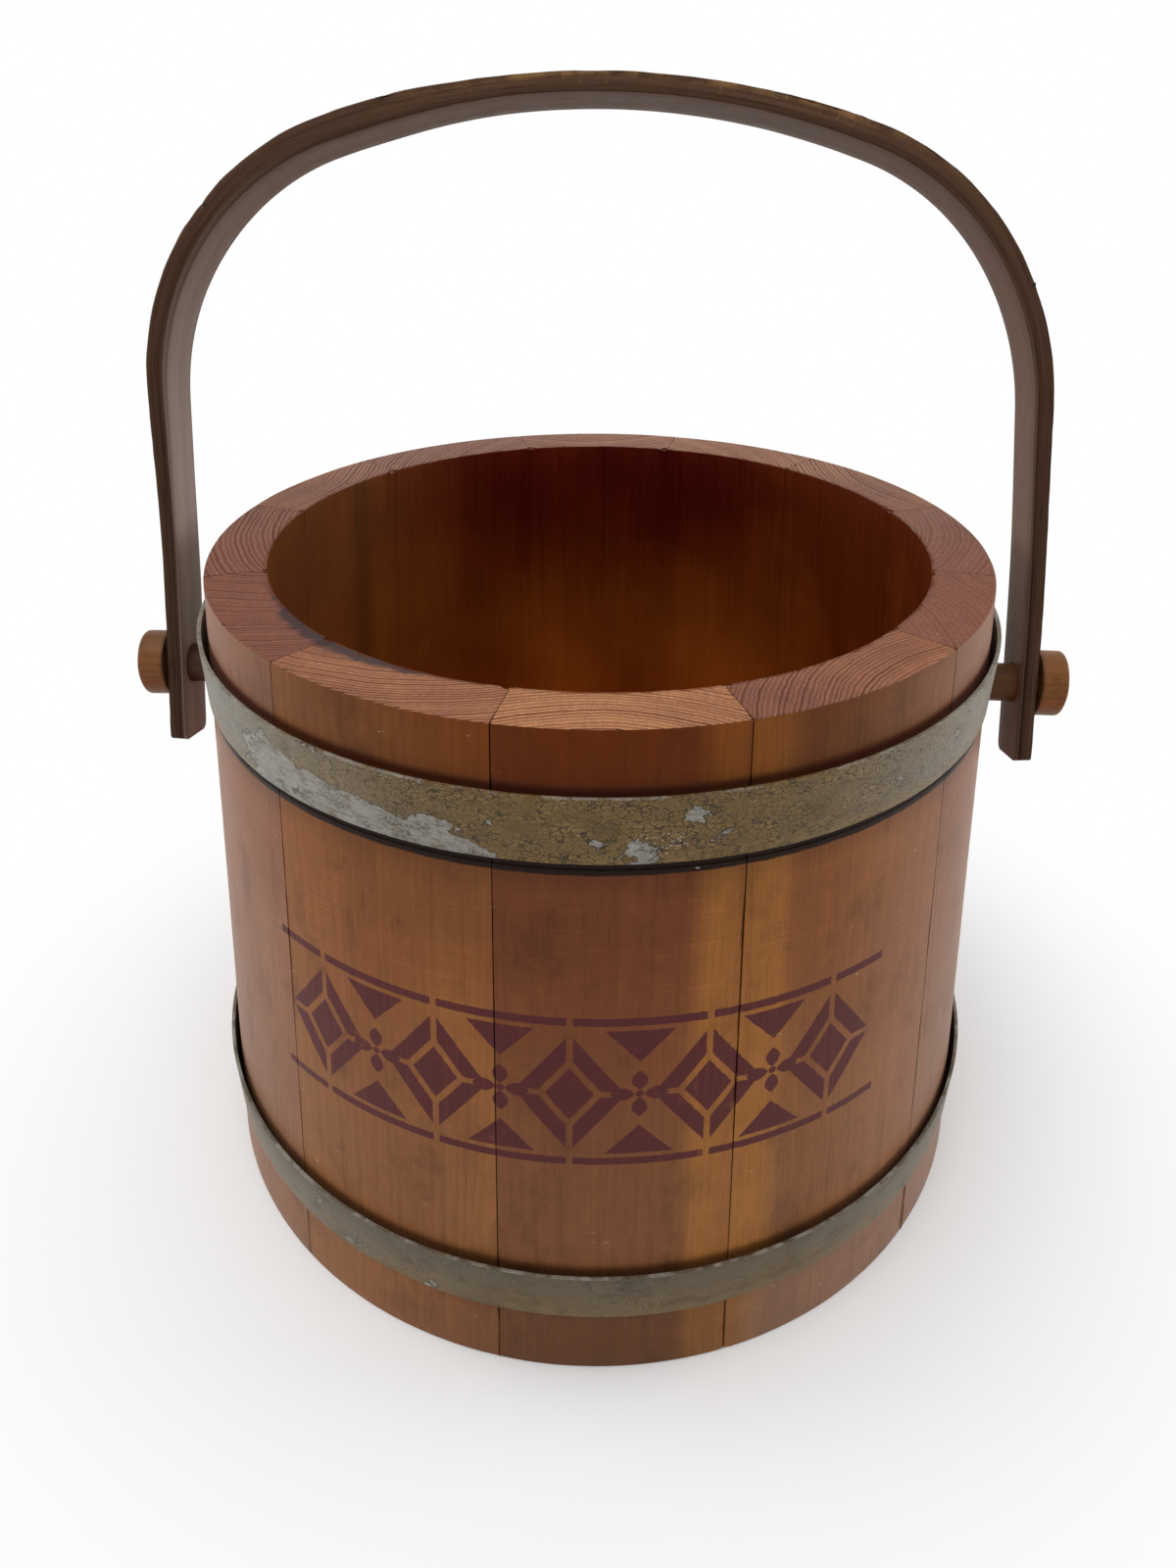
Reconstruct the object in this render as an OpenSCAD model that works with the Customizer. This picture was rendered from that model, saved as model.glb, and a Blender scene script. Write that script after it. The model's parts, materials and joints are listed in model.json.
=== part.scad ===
// Wooden firkin: a coopered bucket, wider at its base than at its rim.
// Twelve staves stand round a bottom of three boards. Two metal hoops hold them.
// A bent wood handle swings on two wooden pegs set in opposite staves.
// Millimetres, +Z up. The origin is the centre of the base, on the floor.
// The front faces -Y, and the pegs lie along X.

/* [Bucket] */
// Height of the bucket from floor to rim
bucket_h = 220.7; // [180:0.1:270]
// Outside diameter across the rim
rim_d = 241.3; // [200:0.1:290]
// How much wider the base is than the rim
base_flare = 44.1; // [20:0.1:56]
// Thickness of the staves, measured level
stave_t = 18.7; // [14:0.1:23]
// Chamfer on the edges of the rim and of the foot
edge_cut = 0.8; // [0.3:0.1:1.5]

/* [Bottom] */
// Thickness of the bottom boards
bottom_t = 12.7; // [9:0.1:18]
// Height of the bottom boards' underside above the floor
bottom_lift = 9.5; // [5:0.1:14]
// Depth of the groove that holds the bottom boards
groove_depth = 5; // [3:0.1:7]
// Width of the middle board
middle_board_w = 92; // [60:1:120]
// Space left between the boards' round edge and the groove
groove_gap = 0.4; // [0.1:0.1:1]

/* [Hoops] */
// Width of both hoops
hoop_w = 18.7; // [12:0.1:24]
// Thickness of the hoops' metal
hoop_t = 1.2; // [0.8:0.1:2]
// Distance from the rim down to the upper hoop
hoop_drop = 16.2; // [8:0.1:24]
// Height of the lower hoop's lower edge above the floor
hoop_lift = 25.2; // [15:0.1:40]
// Height over which each hoop bears on the staves
hoop_land = 2; // [1:0.1:4]
// Length of the overlap where a hoop's ends meet
lap_len = 34; // [26:1:50]
// Turn of the overlap from the back of the bucket, in degrees
lap_turn = 20; // [15:1:40]
// Diameter of the rivets' shanks
rivet_d = 3.2; // [2.4:0.1:4]
// Diameter of the rivets' heads
rivet_head_d = 7; // [6:0.1:9]

/* [Pegs] */
// Diameter of the pegs' shanks
shank_d = 12.7; // [9:0.1:16]
// Diameter of the pegs' heads
head_d = 22; // [18.5:0.1:26]
// Length of the pegs' heads
head_l = 8.8; // [7:0.1:18]
// Distance from the upper hoop down to the middle of the pegs
peg_drop = 12.4; // [11.5:0.1:24]
// Wood left behind the holes that hold the pegs
peg_hole_floor = 5; // [3:0.1:7]
// Slack round a peg where it turns in the handle
turn_gap = 0.08; // [0.02:0.01:0.1]

/* [Handle] */
// Height of the handle's arch above the pegs, to its underside
arch_rise = 170.6; // [150:0.1:205]
// Radius of the arch's flat crown
crown_r = 253; // [205:1:320]
// Radius of the arch's shoulders
shoulder_r = 79.3; // [60:0.1:95]
// Outward splay of the handle's legs, in degrees
leg_splay = 3.2; // [0:0.1:5]
// Width of the handle's strip
strip_w = 20; // [16:0.1:25]
// Thickness of the handle's strip
strip_t = 5.7; // [4:0.1:8]
// Length of the legs below the pegs
leg_end = 25.5; // [16:0.1:28]
// Space between the bucket and the handle at the pegs
leg_gap = 13.6; // [8:0.1:20]
// Lean of the handle behind upright, in degrees
handle_lean = 15.3; // [-40:0.1:40]

/* [Hidden] */
$fn = 96;

// Wood and metal tones
wood_amber = [0.62, 0.33, 0.15];
wood_red = [0.52, 0.25, 0.13];
wood_deep = [0.40, 0.20, 0.11];
walnut = [0.24, 0.16, 0.12];
zinc = [0.55, 0.54, 0.46];

// Staves are cut from boards of mixed width, so each takes its own share of the circle, in degrees.
// The first joint lies this far round from the front, to the left.
first_joint = -41.3;
stave_shares = [31.3, 29.2, 32.9, 26.4, 29.5, 31, 28, 30.5, 32, 28.5, 30, 30.7];

// Gap below each hoop, where the shoulder that stops it was cut
upper_stop_gap = 2.3;
lower_stop_gap = 0.4;

// Looser ends and small edges
peg_glue_gap = 0.05;
peg_tip_cut = 1;
head_round = 1.2;
head_gap = 0.4;
rivet_gap = 0.05;
rivet_head_h = 1.4;
leg_corner_r = 3;

// Straight lengths that stand for the handle's curves: half the crown, and one shoulder
crown_steps = 9;
shoulder_steps = 24;

// Past this length every cutting shape clears the bucket
far = 400;

// Outside radius of the bucket at height z
function wall_r(z) = (rim_d + base_flare * (1 - z / bucket_h)) / 2;
function inner_r(z) = wall_r(z) - stave_t;

// Direction in which stave number i begins, in degrees from the front towards the right
function joint_turn(i) = i == 1 ? first_joint : joint_turn(i - 1) + stave_shares[i - 2];

upper_hoop_z = bucket_h - hoop_drop - hoop_w;
lower_hoop_z = hoop_lift;
upper_hoop_r = wall_r(upper_hoop_z + hoop_land);
lower_hoop_r = wall_r(lower_hoop_z + hoop_land);
groove_r = inner_r(bottom_lift) + groove_depth;
bottom_top = bottom_lift + bottom_t;

// Pegs and handle, both set out from the pegs' own height
peg_z = upper_hoop_z - peg_drop;
leg_x = wall_r(peg_z) + leg_gap;
head_x = leg_x + strip_t / cos(leg_splay) + head_d / 2 * tan(leg_splay) + head_gap;
peg_root_x = inner_r(peg_z) + peg_hole_floor;
turn_hole_d = shank_d + 2 * turn_gap;

// The arch is five tangent stretches: leg, shoulder, crown, shoulder, leg.
// The crown's half angle closes the outline at the pegs' height.
shoulder_reach = crown_r - shoulder_r;
crown_half = asin((leg_x * cos(leg_splay) - shoulder_r + (crown_r - arch_rise) * sin(leg_splay))
    / shoulder_reach) - leg_splay;
crown_z = arch_rise - crown_r;
shoulder_x = shoulder_reach * sin(crown_half);
shoulder_z = crown_z + shoulder_reach * cos(crown_half);
shoulder_turn = 90 - leg_splay - crown_half;
leg_l = (shoulder_z + shoulder_r * sin(leg_splay) + leg_end) / cos(leg_splay);

// Cross-section of the wall, from the foot's outer edge round to its inner edge
module wall_section() {
    upper_stop_z = upper_hoop_z - upper_stop_gap;
    lower_stop_z = lower_hoop_z - lower_stop_gap;
    polygon([
        [wall_r(0) - edge_cut, 0],
        [wall_r(edge_cut), edge_cut],
        [wall_r(lower_stop_z), lower_stop_z],
        [lower_hoop_r, lower_stop_z],
        [lower_hoop_r, lower_hoop_z + hoop_land],
        [wall_r(upper_stop_z), upper_stop_z],
        [upper_hoop_r, upper_stop_z],
        [upper_hoop_r, upper_hoop_z + hoop_land],
        [wall_r(bucket_h - edge_cut), bucket_h - edge_cut],
        [wall_r(bucket_h) - edge_cut, bucket_h],
        [inner_r(bucket_h) + edge_cut, bucket_h],
        [inner_r(bucket_h - edge_cut), bucket_h - edge_cut],
        [inner_r(bottom_top), bottom_top],
        [groove_r, bottom_top],
        [groove_r, bottom_lift],
        [inner_r(bottom_lift), bottom_lift],
        [inner_r(edge_cut), edge_cut],
        [inner_r(0) + edge_cut, 0]
    ]);
}

// One stave: its share of the tapering wall
module plain_stave(i) {
    rotate([0, 0, joint_turn(i) - 90])
        rotate_extrude(angle = stave_shares[i - 1])
            wall_section();
}

// A cylinder along X from x0 to x1 at the pegs' height
module peg_bore(d, x0, x1) {
    translate([x0, 0, peg_z])
        rotate([0, 90, 0])
            cylinder(d = d, h = x1 - x0);
}

module stave(i) {
    color(i % 3 == 0 ? wood_red : wood_amber)
        plain_stave(i);
}

// The stave that holds a peg has a blind hole; side is 1 on the right and -1 on the left
module peg_stave(i, side) {
    hole_d = shank_d + 2 * peg_glue_gap;
    color(wood_red)
        difference() {
            plain_stave(i);
            if (side > 0)
                peg_bore(hole_d, peg_root_x, far);
            else
                peg_bore(hole_d, -far, -peg_root_x);
        }
}

// Bottom boards run from side to side; y0 and y1 are a board's front and back edges
module bottom_board(y0, y1) {
    color(wood_deep)
        intersection() {
            translate([0, 0, bottom_lift])
                cylinder(r = groove_r - groove_gap, h = bottom_t);
            translate([-far / 2, y0, 0])
                cube([far, y1 - y0, bottom_top]);
        }
}

module bottom_board_front() {
    bottom_board(-far / 2, -middle_board_w / 2);
}

module bottom_board_middle() {
    bottom_board(-middle_board_w / 2, middle_board_w / 2);
}

module bottom_board_back() {
    bottom_board(middle_board_w / 2, far / 2);
}

// The overlap of a hoop's ends, on the outside of a ring of radius r
function lap_angle(r) = lap_len / (r + hoop_t) * 180 / PI;

// Turns its children so that X points out through the middle of the overlap
module at_lap() {
    rotate([0, 0, 90 - lap_turn])
        children();
}

// Both rivets sit on the overlap, side by side round the hoop
module each_rivet(r) {
    at_lap()
        for (side = [-1, 1])
            rotate([0, 0, side * lap_angle(r) / 4])
                children();
}

// A hoop is a plain band; r is its inside radius and z its lower edge
module hoop(r, z) {
    color(zinc)
        difference() {
            union() {
                translate([0, 0, z])
                    rotate_extrude()
                        translate([r, 0])
                            square([hoop_t, hoop_w]);
                at_lap()
                    rotate([0, 0, -lap_angle(r) / 2])
                        translate([0, 0, z])
                            rotate_extrude(angle = lap_angle(r))
                                translate([r + hoop_t / 2, 0])
                                    square([1.5 * hoop_t, hoop_w]);
            }
            each_rivet(r)
                translate([r - hoop_w, 0, z + hoop_w / 2])
                    rotate([0, 90, 0])
                        cylinder(d = rivet_d + 2 * rivet_gap, h = 2 * hoop_w);
        }
}

// Flush inside the hoop, with a low domed head outside
module rivets(r, z) {
    shank_l = 2 * hoop_t;
    dome_r = (pow(rivet_head_d / 2, 2) + pow(rivet_head_h, 2)) / (2 * rivet_head_h);
    color(zinc)
        each_rivet(r)
            translate([r, 0, z + hoop_w / 2])
                rotate([0, 90, 0])
                    union() {
                        cylinder(d = rivet_d, h = shank_l);
                        translate([0, 0, shank_l])
                            rotate_extrude()
                                intersection() {
                                    translate([0, rivet_head_h - dome_r])
                                        circle(r = dome_r);
                                    square([rivet_head_d, rivet_head_h]);
                                }
                    }
}

module upper_hoop() {
    hoop(upper_hoop_r, upper_hoop_z);
}

module lower_hoop() {
    hoop(lower_hoop_r, lower_hoop_z);
}

module upper_hoop_rivets() {
    rivets(upper_hoop_r, upper_hoop_z);
}

module lower_hoop_rivets() {
    rivets(lower_hoop_r, lower_hoop_z);
}

// A turned peg along +X: shank from the blind hole to the head, then the head with an eased end
module peg() {
    head_end = head_x + head_l;
    color(wood_amber)
        translate([0, 0, peg_z])
            rotate([0, 90, 0])
                rotate_extrude()
                    union() {
                        polygon([
                            [0, peg_root_x],
                            [shank_d / 2 - peg_tip_cut, peg_root_x],
                            [shank_d / 2, peg_root_x + peg_tip_cut],
                            [shank_d / 2, head_x],
                            [head_d / 2, head_x],
                            [head_d / 2, head_end - head_round],
                            [head_d / 2 - head_round, head_end - head_round],
                            [head_d / 2 - head_round, head_end],
                            [0, head_end]
                        ]);
                        translate([head_d / 2 - head_round, head_end - head_round])
                            intersection() {
                                circle(r = head_round);
                                square(head_round);
                            }
                    }
}

module right_peg() {
    peg();
}

module left_peg() {
    mirror([1, 0, 0])
        peg();
}

// Right half of the arch in the XZ plane, as the points of a line that stays t above its underside.
// It runs from the middle of the crown, round the shoulder, to the end of the leg.
function half_arch(t) = concat(
    [for (k = [0:crown_steps])
        let (a = crown_half * k / crown_steps)
            [0, crown_z] + (crown_r + t) * [sin(a), cos(a)]],
    [for (k = [1:shoulder_steps])
        let (a = crown_half + shoulder_turn * k / shoulder_steps)
            [shoulder_x, shoulder_z] + (shoulder_r + t) * [sin(a), cos(a)]],
    [[shoulder_x, shoulder_z] + (shoulder_r + t) * [cos(leg_splay), sin(leg_splay)]
        + leg_l * [sin(leg_splay), -cos(leg_splay)]]
);

function reversed(points) = [for (k = [len(points) - 1:-1:0]) points[k]];
function mirrored(points) = [for (p = points) [-p[0], p[1]]];

// The whole line, from the end of the left leg over the crown to the end of the right leg
function arch(t) = concat(
    reversed(mirrored(half_arch(t))),
    [for (k = [1:crown_steps + shoulder_steps + 1]) half_arch(t)[k]]
);

// The waste outside a rounded corner of the right leg's end, on the side of positive Y
module leg_corner_waste() {
    leg_tip = half_arch(0)[crown_steps + shoulder_steps + 1];
    inset = strip_w / 2 - leg_corner_r;
    translate([leg_tip[0], inset, leg_tip[1]])
        rotate([0, -leg_splay, 0])
            difference() {
                translate([-strip_t, 0, -leg_corner_r])
                    cube([3 * strip_t, 2 * leg_corner_r, 2 * leg_corner_r]);
                translate([-2 * strip_t, 0, leg_corner_r])
                    rotate([0, 90, 0])
                        cylinder(r = leg_corner_r, h = 5 * strip_t);
            }
}

// One bent strip, drilled for the pegs, with the ends of its legs square-cut and rounded
module handle() {
    color(walnut)
        translate([0, 0, peg_z])
            rotate([-handle_lean, 0, 0])
                difference() {
                    translate([0, strip_w / 2, 0])
                        rotate([90, 0, 0])
                            linear_extrude(strip_w)
                                polygon(concat(arch(strip_t), reversed(arch(0))));
                    translate([-far / 2, 0, 0])
                        rotate([0, 90, 0])
                            cylinder(d = turn_hole_d, h = far);
                    for (m = [0, 1], n = [0, 1])
                        mirror([m, 0, 0])
                            mirror([0, n, 0])
                                leg_corner_waste();
                }
}

stave(1);  // stave_01
stave(2);  // stave_02
stave(3);  // stave_03
stave(4);  // stave_04
peg_stave(5, 1);  // stave_05
stave(6);  // stave_06
stave(7);  // stave_07
stave(8);  // stave_08
stave(9);  // stave_09
stave(10);  // stave_10
peg_stave(11, -1);  // stave_11
stave(12);  // stave_12
bottom_board_front();
bottom_board_middle();
bottom_board_back();
upper_hoop();
lower_hoop();
upper_hoop_rivets();
lower_hoop_rivets();
left_peg();
right_peg();
handle();
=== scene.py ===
# Wooden firkin: the modelled pieces and finishes of a coopered bucket with two hoops and a bent handle.
import json
import math
from collections import namedtuple

import bmesh
import bpy
from mathutils import Matrix, Vector


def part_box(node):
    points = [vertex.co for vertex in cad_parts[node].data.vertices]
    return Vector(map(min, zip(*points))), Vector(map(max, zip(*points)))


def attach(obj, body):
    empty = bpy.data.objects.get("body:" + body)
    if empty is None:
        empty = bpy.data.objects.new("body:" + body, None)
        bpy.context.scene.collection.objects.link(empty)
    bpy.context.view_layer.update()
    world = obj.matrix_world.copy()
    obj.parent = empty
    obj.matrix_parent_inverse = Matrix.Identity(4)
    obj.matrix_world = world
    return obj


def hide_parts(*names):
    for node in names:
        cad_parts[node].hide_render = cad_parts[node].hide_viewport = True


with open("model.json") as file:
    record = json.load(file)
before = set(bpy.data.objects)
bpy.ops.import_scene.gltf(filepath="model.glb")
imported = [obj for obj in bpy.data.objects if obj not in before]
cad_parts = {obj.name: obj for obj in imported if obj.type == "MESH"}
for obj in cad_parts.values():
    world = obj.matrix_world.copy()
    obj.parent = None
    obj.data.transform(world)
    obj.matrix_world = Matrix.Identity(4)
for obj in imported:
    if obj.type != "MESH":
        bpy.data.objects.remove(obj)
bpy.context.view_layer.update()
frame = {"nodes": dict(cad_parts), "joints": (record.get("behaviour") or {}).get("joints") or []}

# Sizes are written in millimetres and angles in degrees
MM = 0.001
DEG = math.pi / 180
TINY = 0.01 * MM
SLIVER = 0.1 * DEG

# The bucket's wall, which narrows from foot to rim
RIM_R = 120.65 * MM
FOOT_R = 142.7 * MM
WALL_T = 18.7 * MM
RIM_EASE = 0.45 * MM
FOOT_EASE = 0.8 * MM
GROOVE_DEPTH = 5 * MM
CRACK_DEPTHS = (2 * MM, 6 * MM)
SEAT_STOP = 2.3 * MM
SEAT_LAND = 2 * MM
bucket_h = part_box("stave_01")[1].z
WALL_SLOPE = (RIM_R - FOOT_R) / bucket_h

# The hoops and their rivets
HOOP_T = 1.2 * MM
LAP_L = 34 * MM
LAP_TURN = 70 * DEG
LAP_STEPS = 8
ROUND_STEPS = 172
RIVET_HEAD_R = 3.5 * MM
RIVET_HEAD_H = 1.4 * MM
RIVET_EDGE = 0.3 * MM
hoop_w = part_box("upper_hoop")[1].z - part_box("upper_hoop")[0].z

# The pegs
SHANK_R = 6.35 * MM
HEAD_L = 8.8 * MM
HEAD_EASE = 1.1 * MM
TURN_GAP = 0.08 * MM
peg_z = frame["joints"][0]["pos_m"][2]
peg_low, peg_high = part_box("right_peg")
head_r = (peg_high.z - peg_low.z) / 2
head_x = peg_high.x - HEAD_L

# The handle's bent strip, as it stands before it leans back
ARCH_RISE = 170.6 * MM
CROWN_R = 253 * MM
SHOULDER_R = 79.3 * MM
LEG_SPLAY = 3.2 * DEG
LEG_END = 25.5 * MM
LEG_GAP = 13.6 * MM
LEG_CORNER_R = 3 * MM
STRIP_W = 20 * MM
STRIP_T = 5.7 * MM
STRIP_EASE = 0.55 * MM
SWAY = 3 * MM
SWAY_Z = 125 * MM
HANDLE_LEAN = 15.3 * DEG

# Lengths along the strip, from the crown's middle, at which its front edge is chipped, and the chips' sizes
HANDLE_CHIPS = [(-62, 1.5), (-121, 1.7), (74, 0.8), (143, 0.9)]

# Turns from the front towards the right: three joints that show, and chips with their sizes
LEFT_JOINT = -10 * DEG
RIGHT_JOINT = 19.2 * DEG
FAR_JOINT = 52.1 * DEG
RIM_CHIPS = [(-41.3, 1.5), (-10.4, 1.3), (19.6, 1.0), (31, 0.7), (52.4, 1.1), (-26, 0.6), (77, 1.0),
             (108.4, 1.4), (139, 0.9), (167.6, 1.2), (197, 1.1), (230, 1.5), (258.6, 1.0), (288, 1.3)]
EDGE_CHIPS = [(-41.3, 0.5), (-21, 0.4), (4, 0.35), (19.2, 0.5), (52.1, 0.6), (96, 0.7), (139.2, 0.6),
              (186, 0.5), (229.5, 0.6), (272, 0.5), (305, 0.45)]

# Wood and metal tones
AMBER = (0.410, 0.165, 0.036)
HONEY = (0.300, 0.112, 0.034)
RUSSET = (0.225, 0.070, 0.025)
UMBER = (0.170, 0.050, 0.018)
ROSE = (0.300, 0.132, 0.072)
# Painted sheen: a pinkish grey laid over the wall's sides and back
ROSE_SHEEN = (0.290, 0.170, 0.122)
OCHRE = (0.255, 0.150, 0.068)
WARMTH = (0.935, 0.590, 0.130)
INSIDE_DEEP = (0.190, 0.030, 0.005)
INSIDE_WARM = (0.520, 0.145, 0.016)
INSIDE_BROWN = (0.300, 0.140, 0.050)
# Painted shade: a dark red tint multiplied over the inside's back near the mouth
INSIDE_SHADE_TINT = (0.760, 0.300, 0.800)
RIM_TAN = (0.465, 0.208, 0.096)
RIM_ROSE = (0.225, 0.090, 0.060)
RIM_LINE = (0.092, 0.027, 0.014)
# Painted sheen: a paler, greyer tone for the rim towards the back
RIM_SHEEN = (0.350, 0.215, 0.170)
IRON_STAIN = (0.040, 0.028, 0.030)
BURGUNDY = (0.092, 0.021, 0.023)
# Dark of open joints, also used for painted shadow under the upper hoop and painted shade where the pegs meet
# the handle
JOINT_AND_SHADE_DARK = (0.012, 0.006, 0.005)
# Painted shade: the dark red band just above the upper hoop
MAROON_SHADE = (0.050, 0.010, 0.006)
WALNUT_DEEP = (0.038, 0.018, 0.011)
WALNUT = (0.125, 0.066, 0.040)
# Painted sheen on the handle's underside, paler on the left leg
WALNUT_SHEEN = (0.215, 0.118, 0.074)
WALNUT_PALE_SHEEN = (0.420, 0.325, 0.270)
RUBBED_GOLD = (0.300, 0.165, 0.065)
PEG_HONEY = (0.180, 0.066, 0.015)
PEG_AMBER = (0.230, 0.062, 0.008)
OLIVE = (0.134, 0.080, 0.026)
TAN_LACQUER = (0.212, 0.132, 0.043)
GREY_GREEN = (0.205, 0.182, 0.140)
SLATE = (0.126, 0.106, 0.078)
ZINC = (0.338, 0.325, 0.292)
CRACK = (0.018, 0.012, 0.007)
GILT = (0.260, 0.132, 0.020)
PALE_DUST = (0.600, 0.560, 0.480)


# Ways of working


def open_new(add, name, **place):
    """Adds a primitive alone in the selection and opens it in edit mode with all of it selected."""
    bpy.ops.object.select_all(action="DESELECT")
    add(**place)
    piece = bpy.context.active_object
    piece.name = name
    piece.data.name = name
    bpy.ops.object.transform_apply(location=True, rotation=True, scale=True)
    bpy.ops.object.mode_set(mode="EDIT")
    bpy.ops.mesh.select_all(action="SELECT")
    return piece


def rod(name, vertices, radius, length, x=0.0, z=0.0):
    """A cylinder that lies along X round a place."""
    return open_new(bpy.ops.mesh.primitive_cylinder_add, name, vertices=vertices, radius=radius, depth=length,
                    location=(x, 0, z), rotation=(0, 90 * DEG, 0))


def upright(name, wide, high, x, z):
    """A rectangle that stands along X round a place."""
    piece = open_new(bpy.ops.mesh.primitive_plane_add, name, size=1, rotation=(90 * DEG, 0, 0))
    stretch(wide, 1, high)
    shift(x, 0, z)
    return piece


def choose(*pieces):
    """Makes these pieces the whole selection."""
    bpy.ops.object.select_all(action="DESELECT")
    for piece in pieces:
        piece.select_set(True)
    bpy.context.view_layer.objects.active = pieces[0]


def reopen(piece):
    """Opens a piece in edit mode with all of it selected."""
    choose(piece)
    bpy.ops.object.mode_set(mode="EDIT")
    bpy.ops.mesh.select_all(action="SELECT")


def close():
    """Merges what meets, turns the faces outwards and leaves edit mode."""
    bpy.ops.mesh.select_all(action="SELECT")
    bpy.ops.mesh.remove_doubles(threshold=TINY / 10)
    bpy.ops.mesh.normals_make_consistent(inside=False)
    bpy.ops.object.mode_set(mode="OBJECT")


def copy_of(piece, name):
    """A copy with its own mesh."""
    choose(piece)
    bpy.ops.object.duplicate(linked=False)
    made = bpy.context.active_object
    made.name = name
    made.data.name = name
    return made


def pick(piece, kind, test):
    """Selects the points, edges or faces of an open piece whose corners all pass the test."""
    bpy.ops.mesh.select_all(action="DESELECT")
    bpy.ops.mesh.select_mode(type=kind)
    mesh = bmesh.from_edit_mesh(piece.data)
    parts = {"VERT": mesh.verts, "EDGE": mesh.edges, "FACE": mesh.faces}[kind]
    for part in parts:
        corners = [part] if kind == "VERT" else part.verts
        if all(test(corner.co) for corner in corners):
            part.select_set(True)
    bmesh.update_edit_mesh(piece.data)


def cut(point, normal, **clearing):
    """Cuts the whole open piece along a plane."""
    bpy.ops.mesh.select_all(action="SELECT")
    bpy.ops.mesh.bisect(plane_co=point, plane_no=normal, **clearing)


def shift(*by):
    bpy.ops.transform.translate(value=by)


def stretch(*by):
    bpy.ops.transform.resize(value=by, center_override=(0, 0, 0))


def draw_out(by):
    """Extrudes what is selected along a vector."""
    bpy.ops.mesh.extrude_region_move(TRANSFORM_OT_translate={"value": by})


def finish_with(piece, kind, **settings):
    """Adds one modifier and applies it."""
    choose(piece)
    modifier = piece.modifiers.new(kind.lower(), kind)
    for name, value in settings.items():
        setattr(modifier, name, value)
    bpy.ops.object.modifier_apply(modifier=modifier.name)


def roughen(piece, size, depth, group="", level=1.0):
    """Wears a surface back by up to a depth, in soft hollows of a size."""
    clouds = bpy.data.textures.new("wear", "CLOUDS")
    clouds.noise_scale = size
    finish_with(piece, "DISPLACE", texture=clouds, texture_coords="LOCAL", strength=depth,
                mid_level=level, vertex_group=group)


def weigh(piece, name, weight):
    """A vertex group whose weights follow from each point's place."""
    group = piece.vertex_groups.new(name=name)
    for point in piece.data.vertices:
        group.add([point.index], weight(point.co), "REPLACE")


def ease(piece, width, segments=2, angle=40 * DEG):
    """Rounds the sharp edges of a piece."""
    finish_with(piece, "BEVEL", width=width, segments=segments, limit_method="ANGLE", angle_limit=angle)


def smooth(piece, angle=38 * DEG):
    choose(piece)
    bpy.ops.object.shade_smooth_by_angle(angle=angle)


def carve(piece, cutter):
    """Takes the cutter's shape out of a piece."""
    finish_with(piece, "BOOLEAN", operation="DIFFERENCE", solver="EXACT", object=cutter)


def remove(piece):
    bpy.data.objects.remove(piece, do_unlink=True)


def step(value, low, high):
    """0 below low, 1 above high, and a soft rise between them."""
    share = min(1.0, max(0.0, (value - low) / (high - low)))
    return share * share * (3 - 2 * share)


def bulge(value, centre, reach):
    """1 at the centre and 0 a reach away from it."""
    return 1 - step(abs(value - centre), 0, reach)


def wrapped(angle):
    return (angle + math.pi) % (2 * math.pi) - math.pi


def off_turn(point, angle):
    """How far round the bucket's axis a point lies past an angle."""
    return wrapped(math.atan2(point.y, point.x) - angle)


def wall_r(z):
    """Outside radius of the bucket at a height."""
    return FOOT_R + WALL_SLOPE * z


def round_to(turn, radius, z):
    """The point at a turn from the front, a radius and a height."""
    return Vector((radius * math.sin(turn), -radius * math.cos(turn), z))


def ends_of(node):
    """Polar angles at which a stave begins and ends, read from its solid."""
    low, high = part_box(node)
    middle = math.atan2(low.y + high.y, low.x + high.x)
    offsets = [off_turn(corner.co, middle) for corner in frame["nodes"][node].data.vertices]
    return middle + min(offsets), middle + max(offsets)


def splinter(spot, size, flatness):
    """A small rough lump, to be taken out of an edge at a spot."""
    lump = open_new(bpy.ops.mesh.primitive_ico_sphere_add, "splinter", subdivisions=3, radius=size)
    stretch(1.25, 1.0, flatness)
    shift(*spot)
    close()
    roughen(lump, size * 0.7, size * 0.9, level=0.5)
    return lump


# Staves


def notch(section, low, high, radius, side):
    """Takes a square notch out of an open section between two heights; side is 1 outside the radius."""
    def within(point):
        return low - TINY < point.z < high + TINY

    for level in (low, high):
        cut((0, 0, level), (0, 0, 1))
    pick(section, "FACE", within)
    bpy.ops.mesh.bisect(plane_co=(radius, 0, 0), plane_no=(1, 0, 0))
    pick(section, "FACE", lambda point: within(point) and side * (point.x - radius) > -TINY)
    bpy.ops.mesh.delete(type="FACE")


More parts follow.
